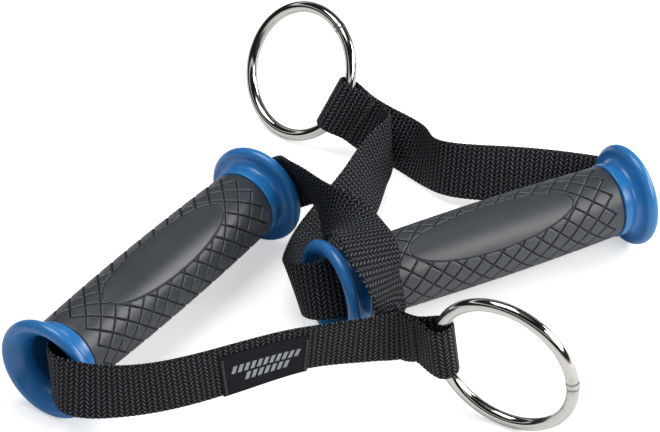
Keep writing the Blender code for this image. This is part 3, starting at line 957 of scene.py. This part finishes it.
def make_grip(look, side):
    """Rubber sleeve with its pattern in the surface itself."""
    half = HANDLE_LENGTH / 2 - FLANGE_DEPTH - TOUCH_GAP
    rows, end_rows, around = 312, 5, 236

    def read(s, t):
        """Distance along the handle, how far the row closes in to the tube, and the angle round."""
        row = np.round(s * (rows + 1))
        inner = np.clip((row - end_rows) / (rows - 2 * end_rows), 0, 1)
        x = np.where(row > rows, -half, (2 * inner - 1) * half)
        closing = np.clip(1 - np.minimum(row, rows - row) / end_rows, 0, 1)
        return x, closing, t * math.tau

    def place(s, t):
        x, closing, angle = read(s, t)
        barrel = GRIP_MIDDLE_RADIUS - GRIP_CROWN * (x / half) ** 2
        edge = np.clip((half - np.abs(x)) / GRIP_END_ROUND, 0, 1)
        rounding = GRIP_END_ROUND * (1 - np.sqrt(1 - (1 - edge) ** 2))
        offset = np.minimum(*groove_lines(look, side, x, angle))
        drawn = np.abs(x) < look.diamond_pitch * look.diamonds_along / 2
        depth = drawn * np.exp(-(offset / (look.groove_width / 2)) ** 4)
        beyond = beyond_panel(side, x, angle)
        inside = 1 / (1 + np.exp(np.clip(beyond / PANEL_BLEND, -40, 40)))
        rim = PANEL_LINE_SHARE * np.exp(-((beyond - PANEL_LINE_OFFSET) / PANEL_LINE_WIDTH) ** 4)
        sunk = np.maximum(depth * (1 - inside), rim) * look.groove_depth + inside * PANEL_SINK
        out = barrel - rounding - sunk * (closing == 0)
        out = out + (SOCKET_RADIUS - out) * closing
        return around_axis(side, x, out, angle)

    def chart(s, t):
        x = read(s, t)[0]
        first = (PANEL_FACES[side] + PANEL_TO_TIP) / math.tau
        return x / look.diamond_pitch, (t - first) * look.diamonds_around

    def marks(s, t):
        x, closing, angle = read(s, t)
        far_mm = 9.0
        return {"beyond_panel": np.where(closing == 0, beyond_panel(side, x, angle) / MM, far_mm)}

    piece = shaped_grid(side + "_grip_rubber", place, rows + 1, around, chart, marks)
    material = rubber_material(side + "_rubber", look)
    finish_piece(piece, material, side + "_handle", "rubber", side + "_grip")


def flange_outline():
    """The flange's closed outline with fine arcs, as points along and out."""
    lip_centre = (LIP_TUBE_RADIUS, LIP_RADIUS - LIP_TUBE_RADIUS)
    valley = SOCKET_RADIUS + VALLEY_WALL
    collar = SOCKET_RADIUS + COLLAR_WALL
    collar_start = FLANGE_DEPTH - COLLAR_LENGTH
    outline = arc(lip_centre, LIP_TUBE_RADIUS, math.pi + LIP_INNER_TURN, 0, 30)
    outline += ease(outline[-1], (outline[-1][0], valley), (VALLEY_DEPTH, valley), 14)
    outline += ease(outline[-1], (collar_start, collar), (FLANGE_DEPTH - COLLAR_ROUND, collar), 8)
    outline += ease(outline[-1], (FLANGE_DEPTH, collar), (FLANGE_DEPTH, collar - COLLAR_ROUND), 6)
    outline += [(FLANGE_DEPTH, SOCKET_RADIUS), (TRUMPET_DEPTH, SOCKET_RADIUS)]
    bore_end = (TRUMPET_DEPTH, BORE_RADIUS)
    lip_inside = outline[0]
    slope = math.tan(LIP_INNER_TURN)
    corner = (lip_inside[0] + (lip_inside[1] - BORE_RADIUS) / slope, BORE_RADIUS)
    outline += [bore_end] + ease(bore_end, corner, lip_inside, 14)
    return np.array(outline)


def make_flange(look, side, end):
    """Blue flange turned about the handle's axis."""
    outline = flange_outline()
    count = len(outline) - 1
    facing = 1 if end == "near" else -1

    def place(s, t):
        row = np.round(s * count).astype(int)
        along = facing * (outline[row, 0] - HANDLE_LENGTH / 2)
        return around_axis(side, along, outline[row, 1], t * math.tau)

    name = f"{side}_flange_{end}_moulding"
    piece = shaped_grid(name, place, along=count, around=128)
    material = flange_material(name, look.flange_colour)
    finish_piece(piece, material, side + "_handle", "flange_plastic", f"{side}_flange_{end}")


def make_ring(look, side):
    """Round steel wire with the swelling and the two seams of its weld."""
    hold = pocket(side)
    weld = POCKETS[side]["weld"]
    centre = hold["ring_centre"] + pile_shift()

    def off_weld(s):
        return ((s * math.tau - weld + math.pi) % math.tau - math.pi) * RING_RADIUS

    def seam(s):
        return np.exp(-((np.abs(off_weld(s)) - SEAM_FROM_MIDDLE) / SEAM_WIDTH) ** 2)

    def place(s, t):
        angle, turn = s * math.tau, t * math.tau
        bead = np.exp(-(off_weld(s) / WELD_REACH) ** 4)
        lumpy = 1 + WELD_LUMPINESS * np.cos(2 * turn + WELD_LUMP_TURN)
        thick = RING_WIRE_RADIUS + WELD_RISE * bead * lumpy - SEAM_DEPTH * seam(s)
        out = np.cos(angle)[:, None] * hold["spoke"] + np.sin(angle)[:, None] * hold["wire"]
        lean = np.cos(turn)[:, None] * out + np.sin(turn)[:, None] * hold["normal"]
        return centre + out * RING_RADIUS + lean * thick[:, None]

    def marks(s, t):
        return {"weld_seam": seam(s)}

    piece = shaped_grid(side + "_ring_wire", place, along=420, around=32, marks=marks)
    material = steel_material(side + "_steel", look.steel_colour)
    finish_piece(piece, material, side + "_ring", "ring_steel", side + "_ring")


def route_frames(path, runs):
    """Points, edge and face directions at many distances along a strap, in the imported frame."""
    runs = np.mod(runs, path["length"])
    ends = np.append(path["run"], path["length"])
    read = []
    for key in ("line", "edge", "face"):
        table = np.vstack([path[key], path[key][:1]])
        read.append(np.stack([np.interp(runs, ends, table[:, i]) for i in range(3)], axis=1))
    point, edge, face = read
    edge /= np.linalg.norm(edge, axis=1)[:, None]
    face /= np.linalg.norm(face, axis=1)[:, None]
    return point + pile_shift(), edge, face


def weave_leans(path, window):
    """How far the weave's columns stand off square at each sample of a strap's path.

    Cloth that turns within its own plane keeps its columns near to parallel, so they stand
    square to the direction that the strap takes over a longer stretch.
    """
    samples = len(path["run"])
    step = path["length"] / samples
    reach = max(1, round(window / step))
    heading = np.zeros_like(path["along"])
    for shift in range(-reach, reach + 1):
        heading += np.roll(path["along"], shift, axis=0) * (reach + 1 - abs(shift))
    sideways = (heading * path["edge"]).sum(axis=1)
    onward = (heading * path["along"]).sum(axis=1)
    return sideways / np.maximum(np.hypot(sideways, onward), 1e-9)


def edge_room(path):
    """Share of its half width that a strap keeps towards each edge, at each sample.

    On the inside of a bend within its own plane that is tighter than half its width, webbing
    can't lie flat, so it gathers there instead of folding back.
    """
    step = path["length"] / len(path["run"])
    spread = round(BEND_SPREAD / step)
    heading_change = np.roll(path["along"], -spread, axis=0) - np.roll(path["along"], spread, axis=0)
    inward = (heading_change * path["edge"]).sum(axis=1) / (2 * spread * step) * WEBBING_WIDTH / 2
    reach = round(GATHER_REACH / step)
    rooms = []
    for sign in (1, -1):
        excess = np.maximum(inward * sign - GATHER_ONSET, 0)
        gathered = sum(
            np.roll(excess, shift) * (1 - abs(shift) / reach) for shift in range(-reach, reach + 1)
        )
        rooms.append(1 / (1 + GATHER_FIRMNESS * gathered / reach))
    return rooms


def make_strap(look, side, path):
    """The woven loop, with the columns of its weave raised and its edges looped."""
    columns = 2 * round(path["length"] / look.column_pitch / 2)
    wide, thick = WEBBING_WIDTH / 2, WEBBING_THICKNESS / 2
    leans = weave_leans(path, look.weave_window)
    upper_room, lower_room = edge_room(path)
    ends = np.append(path["run"], path["length"])

    def column_at(s, share):
        runs = s * path["length"]
        lean = np.interp(np.mod(runs, path["length"]), ends, np.append(leans, leans[0]))
        return (runs + lean * share * wide) / path["length"] * columns

    def place(s, t):
        point, edge, face = route_frames(path, s * path["length"])
        share = 1 - 4 * np.abs(t - 0.5)
        side_of = np.where(t <= 0.5, 1.0, -1.0)
        rib = np.abs(np.sin(column_at(s, share) * math.pi)) ** RIB_ROUNDING
        across = share * (wide - look.rib_height * EDGE_DIP_SHARE * (1 - rib))
        run = np.mod(s * path["length"], path["length"])
        upper = np.interp(run, path["run"], upper_room)
        lower = np.interp(run, path["run"], lower_room)
        across = across * np.where(share > 0, upper, lower)
        edge_run = np.clip((np.abs(share) * wide - (wide - thick)) / thick, 0, 1)
        half = thick * np.sqrt(np.clip(1 - edge_run ** 2, 0, 1))
        half = half - look.rib_height * (1 - rib) * np.clip(half / thick, 0, 1)
        return point + edge * across[:, None] + face * (side_of * half)[:, None]

    def chart(s, t):
        return column_at(s, 1 - 4 * np.abs(t - 0.5)), t

    name = side + "_strap_weave"
    piece = shaped_grid(name, place, along=6 * columns, around=56, chart=chart)
    material = webbing_material(side + "_webbing", look)
    finish_piece(piece, material, side + "_strap", "webbing", side + "_strap")


def make_stitches(look, name, node, path, start, across_ends, swing, turns, rise):
    """A zigzag of thread across a strap, that far above its middle, or below if negative."""
    low, high = across_ends
    step, end_sharpness = 0.0005, 60

    def centre(s):
        phase = s * turns
        zigzag = 2 * np.abs(2 * (phase - np.floor(phase + 0.5))) - 1
        point, edge, face = route_frames(path, start + zigzag * swing / 2)
        height = np.copysign(abs(rise) + THREAD_ARCH * (1 - np.abs(zigzag) ** 6), rise)
        across = low + s * (high - low)
        return point + edge * across[:, None] + face * height[:, None], face

    def place(s, t):
        point, face = centre(s)
        ahead = centre(np.clip(s + step, 0, 1))[0] - centre(np.clip(s - step, 0, 1))[0]
        ahead /= np.linalg.norm(ahead, axis=1)[:, None]
        beside = np.cross(ahead, face)
        beside /= np.linalg.norm(beside, axis=1)[:, None]
        turn = t * math.tau
        radius = THREAD_RADIUS * np.sqrt(np.clip(np.minimum(s, 1 - s) * end_sharpness, 0, 1))
        spoke = np.cos(turn)[:, None] * beside + np.sin(turn)[:, None] * face
        return point + spoke * radius[:, None]

    piece = shaped_grid(name, place, along=turns * 14, around=8)
    body = node.split("_")[0] + "_strap"
    finish_piece(piece, thread_material(name, look.thread_colour), body, "thread", node)


def make_tacks(look, side, path):
    """The row of stitches on each face of the doubled webbing behind a ring."""
    hold = pocket(side)
    beside = PLY_OFFSET * np.cross(hold["leads"], hold["wire"])
    reach = WEBBING_WIDTH / 2 - TACK_EDGE_MARGIN
    for ply, end in ((-1, "front"), (1, "back")):
        seat = hold["point"] + hold["leads"] * TACK_SETBACK + ply * beside
        middle = run_nearest(path, seat)
        face = route_frames(path, np.array([middle]))[2][0]
        outer = math.copysign(1, face.dot(ply * beside))
        make_stitches(
            look, f"{side}_tack_{end}_thread", f"{side}_tack_{end}", path, middle, (-reach, reach),
            TACK_SWING, TACK_TURNS, outer * (WEBBING_THICKNESS / 2 + TACK_LIFT),
        )


def make_label(look, path):
    """Woven label on the left strap, its ends tucked down and sewn."""
    side = "left"
    rim = mouth(side, FIRST_END[side])[0]
    start = run_nearest(path, rim) + LABEL_START
    low = -WEBBING_WIDTH / 2
    middle_face = route_frames(path, np.array([start + LABEL_LENGTH / 2]))[2][0]
    outer = math.copysign(1, -middle_face[1])
    lift = WEBBING_THICKNESS / 2 + LABEL_LIFT

    def place(s, t):
        point, edge, face = route_frames(path, start + s * LABEL_LENGTH)
        share = 1 - 4 * np.abs(t - 0.5)
        across = low + (share + 1) / 2 * LABEL_HEIGHT
        end = np.clip(np.minimum(s, 1 - s) * LABEL_LENGTH / LABEL_THICKNESS, 0, 1)
        brink = np.clip((1 - np.abs(share)) * LABEL_HEIGHT / 2 / LABEL_THICKNESS, 0, 1)
        rise = np.where(t < 0.5, LABEL_THICKNESS * np.sqrt(end * brink), 0)
        return point + edge * across[:, None] + face * ((lift + rise) * outer)[:, None]

    piece = shaped_grid("left_label_weave", place, along=120, around=96)
    finish_piece(piece, label_material("label_weave", look), "left_strap", "label_cloth", "left_label")
    edges = (low + LABEL_STITCH_MARGIN, low + LABEL_HEIGHT - LABEL_STITCH_MARGIN)
    ends = (("start", LABEL_STITCH_MARGIN), ("end", LABEL_LENGTH - LABEL_STITCH_MARGIN))
    for end, along in ends:
        make_stitches(
            look, f"left_label_{end}_thread", f"left_label_stitch_{end}", path, start + along, edges,
            LABEL_STITCH_WIDTH, LABEL_STITCH_TURNS,
            outer * (lift + LABEL_THICKNESS + LABEL_STITCH_LIFT),
        )


class HANDLES_OT_grips(bpy.types.Operator):
    """Make the patterned rubber sleeve of each handle"""
    bl_idname = "handles.grips"
    bl_label = "Grips"

    def execute(self, context):
        for side in HANDLES:
            make_grip(context.scene.handle_look, side)
        return {"FINISHED"}


class HANDLES_OT_flanges(bpy.types.Operator):
    """Make the blue flange at each end of each handle, and finish the core tubes"""
    bl_idname = "handles.flanges"
    bl_label = "Flanges"

    def execute(self, context):
        for side in HANDLES:
            for end in ("near", "far"):
                make_flange(context.scene.handle_look, side, end)
            tube = frame["nodes"][side + "_core_tube"]
            tube.data.materials.clear()
            colour = context.scene.handle_look.flange_colour
            tube.data.materials.append(tube_material(side + "_tube_plastic", colour))
        return {"FINISHED"}


class HANDLES_OT_rings(bpy.types.Operator):
    """Make the steel ring of each strap"""
    bl_idname = "handles.rings"
    bl_label = "Rings"

    def execute(self, context):
        for side in HANDLES:
            make_ring(context.scene.handle_look, side)
        return {"FINISHED"}


class HANDLES_OT_straps(bpy.types.Operator):
    """Make the woven loops with their stitches and the label"""
    bl_idname = "handles.straps"
    bl_label = "Straps"

    def execute(self, context):
        look = context.scene.handle_look
        for side in HANDLES:
            path = strap_path(side)
            make_strap(look, side, path)
            make_tacks(look, side, path)
            if side == "left":
                make_label(look, path)
        return {"FINISHED"}


def add_lamp(name, look, aim):
    """A square area lamp that faces a point."""
    place, side, colour = LAMPS[name].values()
    data = bpy.data.lights.new(name + "_lamp", "AREA")
    data.shape = "SQUARE"
    data.size = side
    data.energy = getattr(look, name + "_power")
    data.color = colour
    lamp = bpy.data.objects.new(name + "_lamp", data)
    lamp.location = place
    lamp.rotation_euler = (Vector(place) - aim).to_track_quat("Z", "Y").to_euler()
    bpy.context.scene.collection.objects.link(lamp)


class HANDLES_OT_stage(bpy.types.Operator):
    """Set the floor, the lamps, the room and the camera"""
    bl_idname = "handles.stage"
    bl_label = "Stage"

    def execute(self, context):
        look = context.scene.handle_stage
        bpy.ops.object.select_all(action="DESELECT")
        bpy.ops.mesh.primitive_plane_add(size=FLOOR_SIDE)
        floor = context.active_object
        floor.name = "pale_floor"
        floor.data.materials.append(floor_material(look))
        aim = Vector(pile_shift())
        for name in LAMPS:
            add_lamp(name, look, aim)
        self.set_room(context, look)
        self.set_camera(context, look, aim)
        context.scene.view_settings.view_transform = "Standard"
        return {"FINISHED"}

    def set_room(self, context, look):
        """Even light, with a white background for the camera and soft bands for the metal."""
        world = bpy.data.worlds.new("room")
        world.use_nodes = True
        context.scene.world = world
        world.node_tree.nodes.clear()
        room = Graph(world.node_tree)
        ray = room.node("ShaderNodeLightPath").outputs
        way = room.node("ShaderNodeTexCoord").outputs["Generated"]
        parts = room.node("ShaderNodeSeparateXYZ", None, {0: way})
        bands = room.node("ShaderNodeValToRGB", {"stops": ROOM_BANDS}, {"Fac": parts.outputs["Z"]})
        plain = room.node("ShaderNodeBackground", None, {"Strength": look.room_light})
        white = room.node("ShaderNodeBackground", None, {"Color": (1, 1, 1, 1), "Strength": 1.0})
        mirrored = room.node("ShaderNodeBackground", None, {"Color": bands.outputs["Color"]})
        lit = room.node(
            "ShaderNodeMixShader", None,
            {0: ray["Is Glossy Ray"], 1: plain.outputs[0], 2: mirrored.outputs[0]},
        )
        seen = room.node(
            "ShaderNodeMixShader", None,
            {0: ray["Is Camera Ray"], 1: lit.outputs[0], 2: white.outputs[0]},
        )
        room.node("ShaderNodeOutputWorld", None, {"Surface": seen.outputs[0]})

    def set_camera(self, context, look, aim):
        """The camera of the photo."""
        tilt = look.camera_elevation
        back = Vector((0, -math.cos(tilt), math.sin(tilt)))
        data = bpy.data.cameras.new("photo_camera")
        data.sensor_width = FILM_WIDTH_MM
        data.lens = look.focal_length
        camera = bpy.data.objects.new("photo_camera", data)
        camera.location = aim + back * look.camera_distance
        camera.rotation_euler = (math.pi / 2 - tilt, 0, 0)
        context.scene.collection.objects.link(camera)
        context.scene.camera = camera


OPERATORS = (
    HANDLES_OT_grips, HANDLES_OT_flanges, HANDLES_OT_rings, HANDLES_OT_straps, HANDLES_OT_stage,
)


class HANDLES_PT_panel(bpy.types.Panel):
    """Buttons and sizes of the handles"""
    bl_label = "Cable handles"
    bl_space_type = "VIEW_3D"
    bl_region_type = "UI"
    bl_category = "Handles"

    def draw(self, context):
        for operator in OPERATORS:
            self.layout.operator(operator.bl_idname)
        for settings in (context.scene.handle_look, context.scene.handle_stage):
            for name in settings.__annotations__:
                self.layout.prop(settings, name)


CLASSES = (Look, StageLook) + OPERATORS + (HANDLES_PT_panel,)


def register():
    """Register the classes and hang the settings on the scene."""
    for each in CLASSES:
        bpy.utils.register_class(each)
    bpy.types.Scene.handle_look = bpy.props.PointerProperty(type=Look)
    bpy.types.Scene.handle_stage = bpy.props.PointerProperty(type=StageLook)


def unregister():
    """Take the settings and the classes away again."""
    del bpy.types.Scene.handle_look
    del bpy.types.Scene.handle_stage
    for each in reversed(CLASSES):
        bpy.utils.unregister_class(each)


def main():
    """Make every piece and set the stage."""
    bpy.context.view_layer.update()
    register()
    bpy.ops.handles.grips()
    bpy.ops.handles.flanges()
    bpy.ops.handles.rings()
    bpy.ops.handles.straps()
    bpy.ops.handles.stage()


if __name__ == "__main__":
    main()
